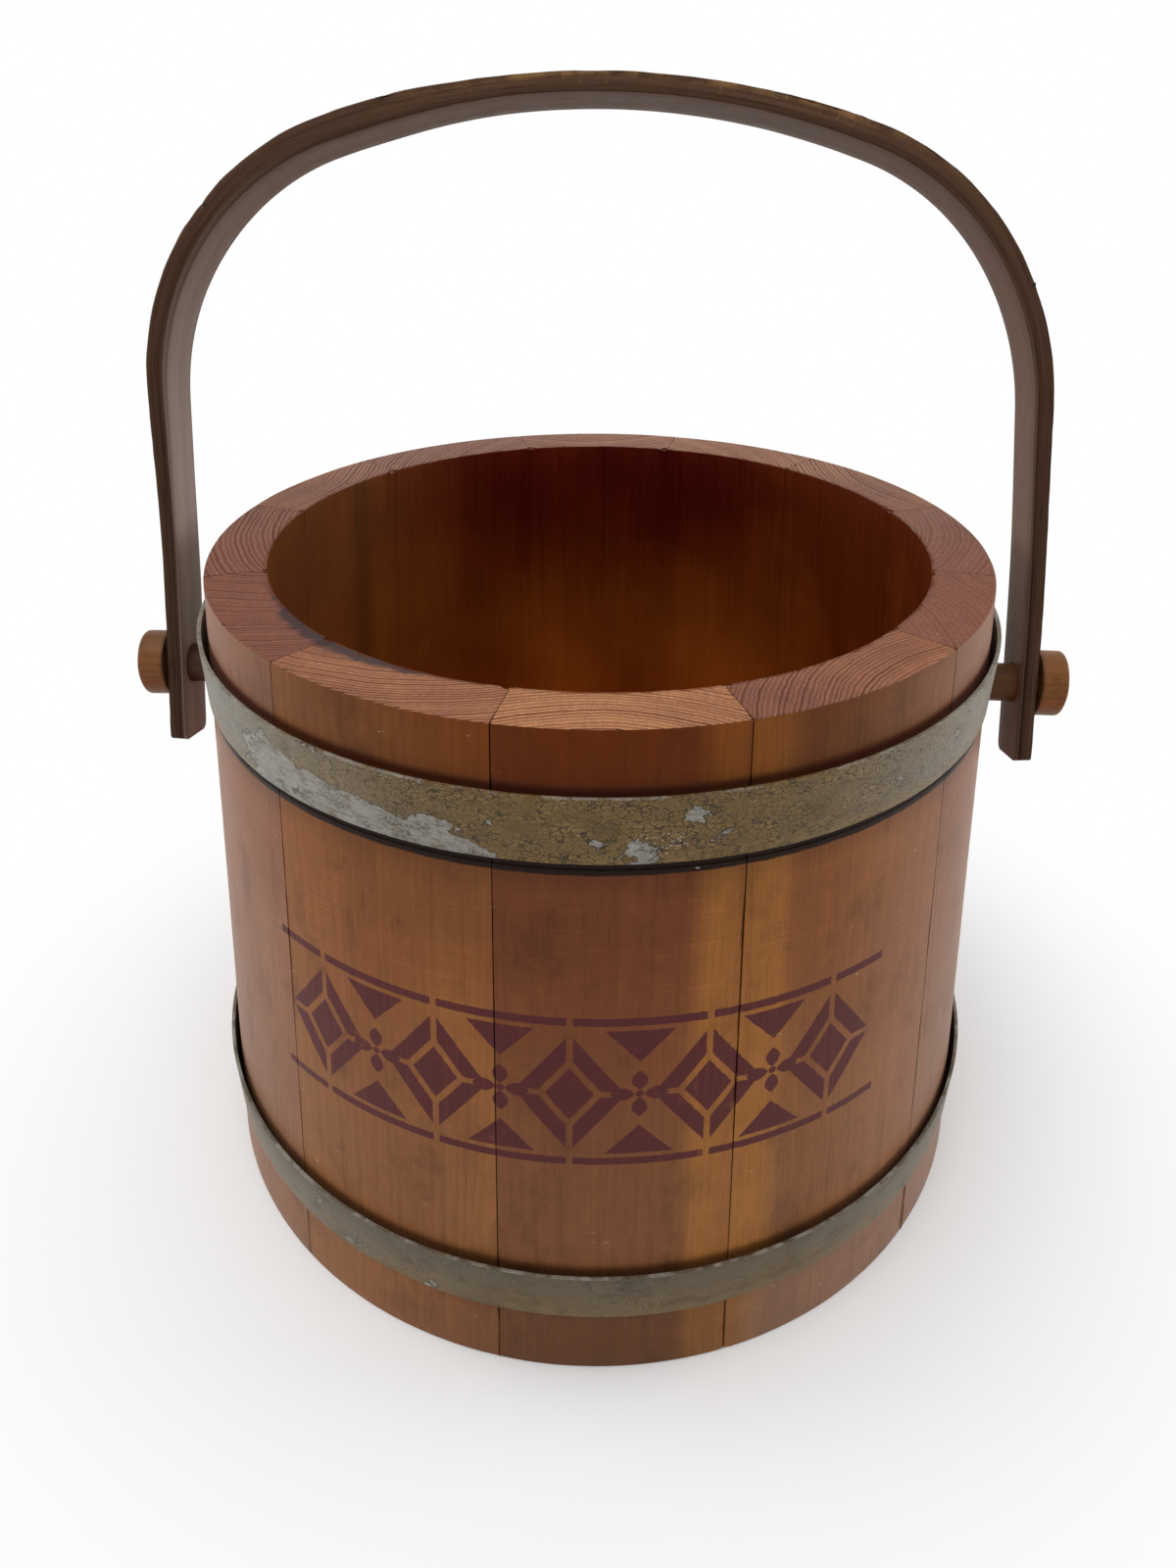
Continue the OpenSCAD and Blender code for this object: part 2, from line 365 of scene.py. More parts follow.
def wall_section():
    """The wall cut through: tapered, grooved for the bottom, set back for the upper hoop, edges eased."""
    section = upright("wall_section", WALL_T, bucket_h, FOOT_R - WALL_T / 2, bucket_h / 2)
    pick(section, "VERT", lambda point: point.z > bucket_h / 2)
    shift(RIM_R - FOOT_R, 0, 0)
    bpy.ops.mesh.bevel(offset=RIM_EASE, segments=3, affect="VERTICES")
    pick(section, "VERT", lambda point: point.z < TINY)
    bpy.ops.mesh.bevel(offset=FOOT_EASE, segments=3, affect="VERTICES")
    board_low, board_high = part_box("bottom_board_middle")
    groove_r = wall_r(board_low.z) - WALL_T + GROOVE_DEPTH
    notch(section, board_low.z, board_high.z, groove_r, -1)
    hoop_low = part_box("upper_hoop")[0]
    seat_r = wall_r(hoop_low.z + SEAT_LAND)
    notch(section, hoop_low.z - SEAT_STOP, hoop_low.z + SEAT_LAND, seat_r, 1)
    for depth in CRACK_DEPTHS:
        cut((FOOT_R - depth, 0, 0), (1, 0, -WALL_SLOPE))
    level_gap = 7 * MM
    for count in range(1, int(bucket_h / level_gap)):
        cut((0, 0, count * level_gap), (0, 0, 1))
    bpy.ops.object.mode_set(mode="OBJECT")
    return section


def opened(turn, z):
    """How far a joint stands open at a turn from the front and a height, from 0 to 1."""
    front_right = step(z, 70 * MM, 110 * MM) * (1 - step(z, 165 * MM, 185 * MM))
    near_foot = 1 - step(z, 20 * MM, 30 * MM)
    if abs(turn - RIGHT_JOINT) < DEG:
        wider = max(0.8 * bulge(z, 163 * MM, 12 * MM), 0.6 * bulge(z, 112 * MM, 9 * MM))
        return max(0.34 * front_right, wider, 0.6 * near_foot, 0.12)
    if abs(turn - FAR_JOINT) < DEG:
        return max(0.8 * near_foot, 0.1)
    if abs(turn - LEFT_JOINT) < DEG:
        return max(0.35 * near_foot, 0.12)
    return 0.08


def stave(node, section):
    """One stave: the section spun through the stave's share, with its long edges eased."""
    begin, end = ends_of(node)
    piece = copy_of(section, "wood_" + node)
    piece.rotation_euler.z = begin
    bpy.ops.object.transform_apply(rotation=True)
    reopen(piece)
    bpy.ops.mesh.spin(steps=round((end - begin) / DEG), angle=begin - end, center=(0, 0, 0), axis=(0, 0, 1))
    close()
    ease(piece, 0.10 * MM, segments=1, angle=60 * DEG)
    return piece


def wear_stave(piece, node):
    """Wears a stave's faces a little, its sides where the joints stand open, and the mouth's edge most."""
    begin, end = ends_of(node)

    def joint_at(point):
        """The turn of the joint that a point lies in, if it lies in one."""
        for edge in (begin, end):
            if abs(off_turn(point, edge)) < 0.15 * DEG:
                return wrapped(edge + math.pi / 2)
        return None

    def shallow(point):
        depth = wall_r(point.z) - math.hypot(point.x, point.y)
        return 1 - step(depth, 2.3 * MM, 5.7 * MM)

    def side_weight(point):
        turn = joint_at(point)
        return 0.0 if turn is None else opened(turn, point.z) * shallow(point)

    def skin_weight(point):
        return 1.0 if joint_at(point) is None else shallow(point)

    def mouth_weight(point):
        inner = math.hypot(point.x, point.y) < RIM_R - WALL_T + 2 * RIM_EASE
        return 1.0 if inner and point.z > bucket_h - 2 * RIM_EASE else 0.0

    weigh(piece, "side", side_weight)
    weigh(piece, "mouth", mouth_weight)
    weigh(piece, "skin", skin_weight)
    roughen(piece, 34 * MM, 0.30 * MM, group="skin")
    roughen(piece, 9 * MM, 0.85 * MM, group="side")
    roughen(piece, 3 * MM, 0.22 * MM, group="mouth")


def chip_rim(staves, chips, radius, flatness):
    """Takes splinters out of whichever staves each of them reaches."""
    for turn, size in chips:
        spot = round_to(turn * DEG, radius, bucket_h)
        lump = splinter(spot, size * MM, flatness)
        for node, piece in staves.items():
            begin, end = ends_of(node)
            middle = (begin + end) / 2
            beyond = abs(off_turn(spot, middle)) - (end - begin) / 2
            if beyond * radius < 2 * size * MM:
                carve(piece, lump)
        remove(lump)


def peg_hole(piece, side):
    """A blind hole for a peg; side is 1 on the right."""
    drill_l = 100 * MM
    drill = rod("drill", 48, SHANK_R + 2 * TURN_GAP, drill_l, side * (peg_low.x + drill_l / 2), peg_z)
    close()
    carve(piece, drill)
    remove(drill)


# Bottom boards


def bottom_board(node):
    """A board sawn from a disc, with its edges eased."""
    low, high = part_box(node)
    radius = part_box("bottom_board_middle")[1].x
    piece = open_new(bpy.ops.mesh.primitive_cylinder_add, "wood_" + node, vertices=160, radius=radius,
                     depth=high.z - low.z, location=(0, 0, (low.z + high.z) / 2))
    if low.y > -radius / 2:
        cut((0, low.y, 0), (0, 1, 0), use_fill=True, clear_inner=True)
    if high.y < radius / 2:
        cut((0, high.y, 0), (0, 1, 0), use_fill=True, clear_outer=True)
    close()
    ease(piece, 0.5 * MM)
    smooth(piece)
    return piece


# Hoops


def hoop(node):
    """A band spun round the bucket, with a second thickness where its ends overlap at the back."""
    low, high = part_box(node)
    outer = -low.y
    lap_angle = LAP_L / outer
    lap_begin = LAP_TURN - lap_angle / 2
    piece = upright("metal_" + node, HOOP_T, hoop_w, outer - HOOP_T / 2, (low.z + high.z) / 2)
    for count in range(1, 4):
        cut((0, 0, low.z + hoop_w * count / 4), (0, 0, 1))
    bpy.ops.object.mode_set(mode="OBJECT")
    piece.rotation_euler.z = lap_begin
    bpy.ops.object.transform_apply(rotation=True)
    reopen(piece)
    bpy.ops.mesh.spin(steps=LAP_STEPS, angle=-lap_angle, center=(0, 0, 0), axis=(0, 0, 1))
    bpy.ops.mesh.spin(steps=ROUND_STEPS, angle=lap_angle - 2 * math.pi, center=(0, 0, 0), axis=(0, 0, 1))
    bpy.ops.mesh.select_all(action="SELECT")
    bpy.ops.mesh.remove_doubles(threshold=TINY)
    bpy.ops.mesh.delete_loose()
    pick(piece, "FACE", lambda point: abs(off_turn(point, lap_begin)) < SLIVER)
    bpy.ops.mesh.delete(type="FACE")

    def on_lap(point):
        outside = math.hypot(point.x, point.y) > outer - TINY
        return outside and abs(off_turn(point, LAP_TURN)) < lap_angle / 2 + SLIVER

    pick(piece, "FACE", on_lap)
    bpy.ops.mesh.extrude_region_move()
    raised = (outer + HOOP_T) / outer
    stretch(raised, raised, 1)

    def joggle(point):
        outside = math.hypot(point.x, point.y) > outer + HOOP_T / 2
        return outside and abs(off_turn(point, lap_begin)) < SLIVER

    pick(piece, "VERT", joggle)
    lowered = (outer + 0.1 * MM) / (outer + HOOP_T)
    stretch(lowered, lowered, 1)
    close()
    ease(piece, 0.25 * MM)
    roughen(piece, 30 * MM, 0.25 * MM, level=0.5)
    smooth(piece)
    return piece


def rivets(node, hoop_node):
    """Two low hammered heads, side by side on a hoop's overlap."""
    low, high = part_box(hoop_node)
    outer = -low.y + HOOP_T
    head = rod("rivet_head", 28, RIVET_HEAD_R, HOOP_T, outer - HOOP_T / 2 + RIVET_EDGE)
    pick(head, "FACE", lambda point: point.x > outer + RIVET_EDGE - TINY)
    rise = RIVET_HEAD_H - RIVET_EDGE
    for share in (0.5, 0.3, 0.15):
        bpy.ops.mesh.inset(thickness=RIVET_HEAD_R * 0.27)
        shift(rise * share, 0, 0)
    close()
    lap_angle = LAP_L / (outer - HOOP_T)
    pair = []
    for side in (-1, 1):
        one = copy_of(head, "%s_%d" % (node, side))
        one.location.z = (low.z + high.z) / 2
        one.rotation_euler.z = LAP_TURN + side * lap_angle / 4
        bpy.ops.object.transform_apply(location=True, rotation=True)
        pair.append(one)
    remove(head)
    choose(*pair)
    bpy.ops.object.join()
    piece = bpy.context.active_object
    piece.name = "metal_" + node
    piece.data.name = piece.name
    roughen(piece, 2 * MM, 0.25 * MM)
    smooth(piece, 50 * DEG)
    return piece


# Pegs


def right_peg():
    """A turned peg: a head with an eased end, and a shank drawn out of its inner face."""
    piece = rod("turned_right_peg", 56, head_r, HEAD_L, head_x + HEAD_L / 2, peg_z)
    pick(piece, "EDGE", lambda point: point.x > peg_high.x - TINY)
    bpy.ops.mesh.bevel(offset=HEAD_EASE, segments=4, affect="EDGES")
    pick(piece, "EDGE", lambda point: point.x < head_x + TINY)
    bpy.ops.mesh.bevel(offset=0.4 * MM, segments=2, affect="EDGES")
    pick(piece, "FACE", lambda point: point.x < head_x + TINY)
    bpy.ops.mesh.inset(thickness=head_r - 0.4 * MM - SHANK_R)
    draw_out((peg_low.x - head_x, 0, 0))
    bpy.ops.mesh.bevel(offset=1 * MM, segments=2, affect="EDGES")
    for share in (0.25, 0.5, 0.75):
        cut((head_x + HEAD_L * share, 0, 0), (1, 0, 0))
    close()
    weigh(piece, "head", lambda point: step(point.x, head_x, head_x + 2 * MM))
    roughen(piece, 11 * MM, 0.3 * MM, group="head")
    smooth(piece)
    return piece


def left_peg(other):
    """The right peg seen in a mirror."""
    piece = copy_of(other, "turned_left_peg")
    piece.scale.x = -1
    bpy.ops.object.transform_apply(scale=True)
    reopen(piece)
    close()
    return piece


# Handle

leg_x = wall_r(peg_z) + LEG_GAP
shoulder_reach = CROWN_R - SHOULDER_R
crown_half = math.asin((leg_x * math.cos(LEG_SPLAY) - SHOULDER_R
                        + (CROWN_R - ARCH_RISE) * math.sin(LEG_SPLAY)) / shoulder_reach) - LEG_SPLAY
crown_z = ARCH_RISE - CROWN_R
shoulder_x = shoulder_reach * math.sin(crown_half)
shoulder_z = crown_z + shoulder_reach * math.cos(crown_half)
shoulder_turn = math.pi / 2 - LEG_SPLAY - crown_half
leg_l = (shoulder_z + SHOULDER_R * math.sin(LEG_SPLAY) + LEG_END) / math.cos(LEG_SPLAY)
leg_way = Vector((math.sin(LEG_SPLAY), 0, -math.cos(LEG_SPLAY)))
crown_l = CROWN_R * crown_half
shoulder_l = SHOULDER_R * shoulder_turn


def along_strip(point):
    """Length along the strip from the crown's middle, width across it and height off its underside."""
    side = 1 if point.x >= 0 else -1
    x = abs(point.x)
    turn = math.atan2(x, point.z - crown_z)
    if turn <= crown_half:
        return side * CROWN_R * turn, point.y, math.hypot(x, point.z - crown_z) - CROWN_R
    turn = math.atan2(x - shoulder_x, point.z - shoulder_z)
    if 0 <= turn <= crown_half + shoulder_turn:
        reach = math.hypot(x - shoulder_x, point.z - shoulder_z)
        return side * (crown_l + SHOULDER_R * (turn - crown_half)), point.y, reach - SHOULDER_R
    down = Vector((x - shoulder_x, 0, point.z - shoulder_z))
    out = Vector((math.cos(LEG_SPLAY), 0, math.sin(LEG_SPLAY)))
    return side * (crown_l + shoulder_l + down.dot(leg_way)), point.y, down.dot(out) - SHOULDER_R


def on_strip(length, across, height):
    """The point at a length along the strip, a width across it and a height off its underside."""
    side = 1 if length >= 0 else -1
    way = abs(length)
    if way <= crown_l:
        turn = way / CROWN_R
        reach = CROWN_R + height
        return Vector((side * reach * math.sin(turn), across, crown_z + reach * math.cos(turn)))
    turn = crown_half + min(way - crown_l, shoulder_l) / SHOULDER_R
    reach = SHOULDER_R + height
    spot = Vector((shoulder_x + reach * math.sin(turn), across, shoulder_z + reach * math.cos(turn)))
    spot += leg_way * max(0.0, way - crown_l - shoulder_l)
    return Vector((side * spot.x, spot.y, spot.z))


def fuller(point):
    """How much fuller than its legs the strip is: most at the left shoulder, nothing at the crown's top."""
    shoulders = step(point.z, 45 * MM, 120 * MM) * step(abs(point.x), 25 * MM, 75 * MM)
    return shoulders * (1.0 if point.x < 0 else 0.35)


def handle():
    """A strip bent over crown and shoulders into two legs, bored for the pegs and worn at its edges."""
    piece = open_new(bpy.ops.mesh.primitive_plane_add, "bent_handle", size=1, rotation=(0, 90 * DEG, 0))
    stretch(1, STRIP_W, STRIP_T)
    shift(0, 0, ARCH_RISE + STRIP_T / 2)
    bpy.ops.mesh.bevel(offset=STRIP_EASE, segments=3, affect="VERTICES")
    for share in (-0.25, 0, 0.25):
        cut((0, STRIP_W * share, 0), (0, 1, 0))
    bpy.ops.mesh.select_all(action="SELECT")
    bpy.ops.mesh.spin(steps=24, angle=-crown_half, center=(0, 0, crown_z), axis=(0, 1, 0))
    bpy.ops.mesh.spin(steps=36, angle=-shoulder_turn, center=(shoulder_x, 0, shoulder_z), axis=(0, 1, 0))
    leg_steps = 30
    for _ in range(leg_steps):
        draw_out(leg_way * (leg_l - LEG_CORNER_R) / leg_steps)
    corner_steps = 5
    sunk = 0.0
    half = STRIP_W / 2
    for count in range(1, corner_steps + 1):
        angle = 80 * DEG * count / corner_steps
        deeper = LEG_CORNER_R * math.sin(angle)
        narrower = STRIP_W / 2 - LEG_CORNER_R * (1 - math.cos(angle))
        draw_out(leg_way * (deeper - sunk))
        stretch(1, narrower / half, 1)
        sunk = deeper
        half = narrower
    pick(piece, "FACE", lambda point: point.x < TINY)
    bpy.ops.mesh.delete(type="ONLY_FACE")
    close()
    finish_with(piece, "MIRROR", use_mirror_merge=True, merge_threshold=TINY)
    reopen(piece)
    close()
    bore = rod("bore", 64, SHANK_R + TURN_GAP, 400 * MM)
    close()
    carve(piece, bore)
    remove(bore)
    for length, size in HANDLE_CHIPS:
        lump = splinter(on_strip(length * MM, -STRIP_W / 2, STRIP_T), size * MM, 0.7)
        carve(piece, lump)
        remove(lump)
    weigh(piece, "arris", arris_weight)
    strip = piece.data.attributes.new("strip", "FLOAT_VECTOR", "POINT")
    for point in piece.data.vertices:
        strip.data[point.index].vector = along_strip(point.co)
    reopen(piece)
    pick(piece, "VERT", lambda point: point.z > SWAY_Z)
    bpy.ops.transform.translate(value=(-SWAY, 0, 0), use_proportional_edit=True,
                                proportional_edit_falloff="SMOOTH", proportional_size=SWAY_Z - 12 * MM)
    close()
    weigh(piece, "full", fuller)
    finish_with(piece, "DISPLACE", strength=0.9 * MM, mid_level=0, vertex_group="full")
    roughen(piece, 40 * MM, 0.35 * MM)
    roughen(piece, 7 * MM, 0.5 * MM, group="arris")
    piece.rotation_euler.x = -HANDLE_LEAN
    piece.location.z = peg_z
    choose(piece)
    bpy.ops.object.transform_apply(location=True, rotation=True)
    smooth(piece)
    return piece


def arris_weight(point):
    """1 on the long outer edges of the handle's strip, which rub away first."""
    _, across, height = along_strip(point)
    return step(abs(across), STRIP_W / 2 - 1.6 * MM, STRIP_W / 2 - 0.2 * MM) * step(height, 2 * MM, STRIP_T)


# Shader work


def working(operation, turned_round=False):
    """A way of working on a number, which adds one Math node; turned round, the other number comes first."""
    def work(reading, other=0.0):
        first, second = (other, reading) if turned_round else (reading, other)
        return reading.finish.node("ShaderNodeMath", {"operation": operation}, {0: first, 1: second})
    return work


class Reading:
    """One socket of a finish. On a number, Python's arithmetic adds the nodes that work it out."""

    def __init__(self, finish, socket):
        self.finish = finish
        self.socket = socket

    __add__ = __radd__ = working("ADD")
    __sub__ = working("SUBTRACT")
    __rsub__ = working("SUBTRACT", turned_round=True)
    __mul__ = __rmul__ = working("MULTIPLY")
    __truediv__ = working("DIVIDE")
    __abs__ = working("ABSOLUTE")
    fraction = working("FRACT")
    whole = working("FLOOR")
    least = working("MINIMUM")
    most = working("MAXIMUM")
    # The angle whose tangent is this number over the other
    turn_from = working("ARCTAN2")

    def rise(self, low, high, unit=1.0):
        """0 below low, 1 above high, and a soft rise between them."""
        settings = {"interpolation_type": "SMOOTHSTEP", "clamp": True}
        ends = {"From Min": low * unit, "From Max": high * unit}
        return self.finish.node("ShaderNodeMapRange", settings, {"Value": self, **ends})

    def near(self, centre, width, unit=1.0):
        """1 at the centre and 0 a width away from it."""
        return 1 - abs(self - centre * unit).rise(0, width, unit)

    def swing(self, amount):
        """An even reading's swing round its middle, times an amount."""
        return (self - 0.5) * amount

    def blend(self, other, share, how="MIX"):
        """The other colour over this one by a share."""
        return self.finish.blend(self, other, share, how)

    def shade(self, amount):
        """This colour made lighter or darker by a number."""
        return self.finish.node("ShaderNodeVectorMath", {"operation": "SCALE"}, {0: self, "Scale": amount})


class Finish:
    """One material, or the world, and the nodes that make it."""

    def __init__(self, name, world=None):
        self.material = world or bpy.data.materials.new(name)
        self.material.use_nodes = True
        self.nodes = self.material.node_tree.nodes
        self.links = self.material.node_tree.links
        self.nodes.clear()

    def node(self, kind, settings=None, inputs=None, output=0):
        """Any shader node: its settings first, then the values or links of its sockets."""
        made = self.nodes.new(kind)
        for name, value in (settings or {}).items():
            setattr(made, name, value)
        for name, value in (inputs or {}).items():
            if isinstance(value, Reading):
                self.links.new(value.socket, made.inputs[name])
            else:
                made.inputs[name].default_value = value
        return Reading(self, made.outputs[output])

    def place(self):
        return self.node("ShaderNodeTexCoord", output="Object")

    def facing(self):
        """The surface's direction in the object's own axes, as three numbers."""
        return self.split(self.node("ShaderNodeTexCoord", output="Normal"))

    def split(self, vector):
        x = self.node("ShaderNodeSeparateXYZ", inputs={"Vector": vector})
        outputs = x.socket.node.outputs
        return x, Reading(self, outputs["Y"]), Reading(self, outputs["Z"])

    def point(self, x, y, z):
        return self.node("ShaderNodeCombineXYZ", inputs={"X": x, "Y": y, "Z": z})

    def length(self, vector):
        return self.node("ShaderNodeVectorMath", {"operation": "LENGTH"}, {0: vector}, "Value")

    def scaled(self, vector, x, y, z):
        return self.node("ShaderNodeVectorMath", {"operation": "MULTIPLY"}, {0: vector, 1: (x, y, z)})

    def noise(self, vector, by=(1, 1, 1), scale=1.0, detail=2.0, roughness=0.5):
        """Soft noise, with its three axes multiplied first."""
        if by != (1, 1, 1):
            vector = self.scaled(vector, *by)
        return self.node("ShaderNodeTexNoise", {}, {
            "Vector": vector, "Scale": scale, "Detail": detail, "Roughness": roughness})

    def cells(self, vector, scale, feature="F1"):
        return self.node("ShaderNodeTexVoronoi", {"feature": feature}, {"Vector": vector, "Scale": scale},
                         "Distance")

    def chance(self, number):
        """A number from 0 to 1 that is the same wherever the given one is."""
        return self.node("ShaderNodeTexWhiteNoise", {"noise_dimensions": "1D"}, {"W": number}, "Value")

    def blend(self, first, second, share, how="MIX"):
        """The second colour over the first by a share."""
        colours = [value if isinstance(value, Reading) else (*value, 1) for value in (first, second)]
        return self.node("ShaderNodeMix", {"data_type": "RGBA", "blend_type": how, "clamp_factor": True},
                         {0: share, 6: colours[0], 7: colours[1]}, 2)

    def surface(self, colour, roughness, height, depth, specular=0.5, metallic=0.0):
        """The shader itself; height raises the surface by up to a depth."""
        bump = self.node("ShaderNodeBump", {}, {"Height": height, "Distance": depth, "Strength": 1.0})
        self.node_out(self.node("ShaderNodeBsdfPrincipled", {}, {
            "Base Color": colour, "Roughness": roughness, "Metallic": metallic, "Normal": bump,
            "Specular IOR Level": specular}))

    def node_out(self, shader, kind="ShaderNodeOutputMaterial"):
        out = self.nodes.new(kind)
        self.links.new(shader.socket, out.inputs["Surface"])

    def plain_sight(self):
        """1 for what the camera sees, straight on, mirrored or through glass; 0 for light that is cast."""
        outputs = self.node("ShaderNodeLightPath").socket.node.outputs
        names = ("Is Camera Ray", "Is Glossy Ray", "Is Transmission Ray")
        camera, mirrored, through = [Reading(self, outputs[name]) for name in names]
        return camera.most(mirrored).most(through)


def growth_rings(finish, board, pith, spacing, wander):
    """Dark late-wood lines round a pith, on a board's own width, thickness and length."""
    across, through, _ = finish.split(board)
    slow = finish.noise(board, by=(22, 22, 3.5))
    ripple = finish.noise(board, by=(230, 230, 14))
    reach = finish.length(finish.point(across - pith[0] * MM, through - pith[1] * MM, 0))
    drift = slow.swing(wander * MM) + ripple.swing(0.9 * MM)
    count = (reach + drift) / (spacing * MM)
    count = count + finish.noise(finish.point(count * 0.35, 0, 0)).swing(1.6)
    share = count.fraction()
    strength = finish.chance(count.whole()) * 0.6 + 0.4
    return share.rise(0.25, 0.86) * (1 - share.rise(0.92, 1.0)) * strength


def fibres(finish, board):
    """Broad bands, fine fibres and open pores that run the length of a board."""
    bands = finish.noise(board, by=(75, 55, 3), detail=3)
    fine = finish.noise(board, by=(900, 900, 16), detail=3, roughness=0.6)
    pores = finish.noise(board, by=(2600, 2600, 60), detail=1).rise(0.60, 0.74)
    return bands, fine, pores


# Finishes of the bucket's wood

# Where a stave's pith lies, across and out from the middle of its outer face, and how far apart its rings
# are, in millimetres; its face from deep to pale; its rim's tone, the share of rose in it and how strong its
# lines are
Wood = namedtuple("Wood", "pith spacing deep pale rim rose lines", defaults=[1.0])
WOODS = {
    "stave_01": Wood((-34, -95), 1.3, RUSSET, HONEY, RIM_TAN, 0.60),
    "stave_02": Wood((-9, 52), 1.4, UMBER, RUSSET, RIM_TAN, 0.05),
    "stave_03": Wood((24, 44), 1.2, UMBER, HONEY, RIM_TAN, 0.85),
    "stave_04": Wood((-60, -80), 1.9, RUSSET, ROSE, RIM_ROSE, 0.6, 0.4),
    "stave_05": Wood((22, -70), 1.8, UMBER, ROSE, RIM_ROSE, 0.4, 0.5),
    "stave_06": Wood((-14, 60), 1.6, RUSSET, HONEY, RIM_TAN, 0.6),
    "stave_07": Wood((40, -65), 1.5, RUSSET, AMBER, RIM_TAN, 0.4),
    "stave_08": Wood((6, 48), 1.8, UMBER, RUSSET, RIM_TAN, 0.6),
    "stave_09": Wood((-48, -70), 1.6, RUSSET, HONEY, RIM_ROSE, 0.3),
    "stave_10": Wood((16, 66), 1.5, UMBER, HONEY, RIM_TAN, 0.7),
    "stave_11": Wood((-20, -90), 1.7, RUSSET, ROSE, RIM_ROSE, 0.5),
    "stave_12": Wood((-100, -65), 1.6, RUSSET, ROSE, RIM_ROSE, 0.5),
}


def ornament(finish, turn, z, rough):
    """A stencilled border: barred lozenges, four-leaved flowers and half diamonds between broken lines."""
    middle_z = 112.8 * MM
    pitch = 38.3 * MM
    half_w = 15.4 * MM
    half_h = 20.6 * MM
    bar_half = 0.9 * MM
    line_z = 24.4 * MM
    line_half = 1.3 * MM
    leaf_middle = 4.7 * MM
    half_leaf = 3.4 * MM
    leaf_half_w = 2.2 * MM
    bud_r = 1.15 * MM
    wedge_half_w = 9.6 * MM
    wedge_h = 10.5 * MM
    wedge_top = 21.6 * MM
    crisp = 0.16 * MM
    ragged = rough.swing(0.5 * MM)
    around = (turn + 1.05 * DEG) * wall_r(middle_z) + ragged
    level = abs(z - middle_z + ragged)

    def inside(edge):
        """1 where a length past an outline is below zero."""
        return 1 - edge.rise(-crisp, crisp)

    number = (around / pitch + 0.5).whole()
    beside = abs(around - number * pitch)
    rhomb = (beside / half_w + level / half_h) * half_w
    bars = inside(rhomb - half_w) * (1 - inside(rhomb - 0.60 * half_w))
    bars = bars * (1 - inside(beside.least(level) - bar_half))
    heart = inside(rhomb - 0.44 * half_w)
    lines = inside(abs(level - line_z) - line_half) * (1 - inside(beside - bar_half))
    within_border = inside(abs(number) - 2.5)

    gap = (around / pitch).whole()
    leaf_x = abs(around - (gap + 0.5) * pitch)

    def leaf(long_way, short_way):
        share = (long_way - leaf_middle) / half_leaf
        return inside(short_way - (1 - share * share) * leaf_half_w)

    bud = inside(finish.length(finish.point(leaf_x, level, 0)) - bud_r)
    wedge = (leaf_x / wedge_half_w + (wedge_top - level) / wedge_h) * wedge_half_w
    wedges = inside(wedge - wedge_half_w) * inside(level - wedge_top)
    flower = leaf(leaf_x, level) + leaf(level, leaf_x) + bud + wedges
    between = flower * inside(abs(gap + 0.5) - 2)
    return ((bars + heart + lines) * within_border + between).least(1.0)


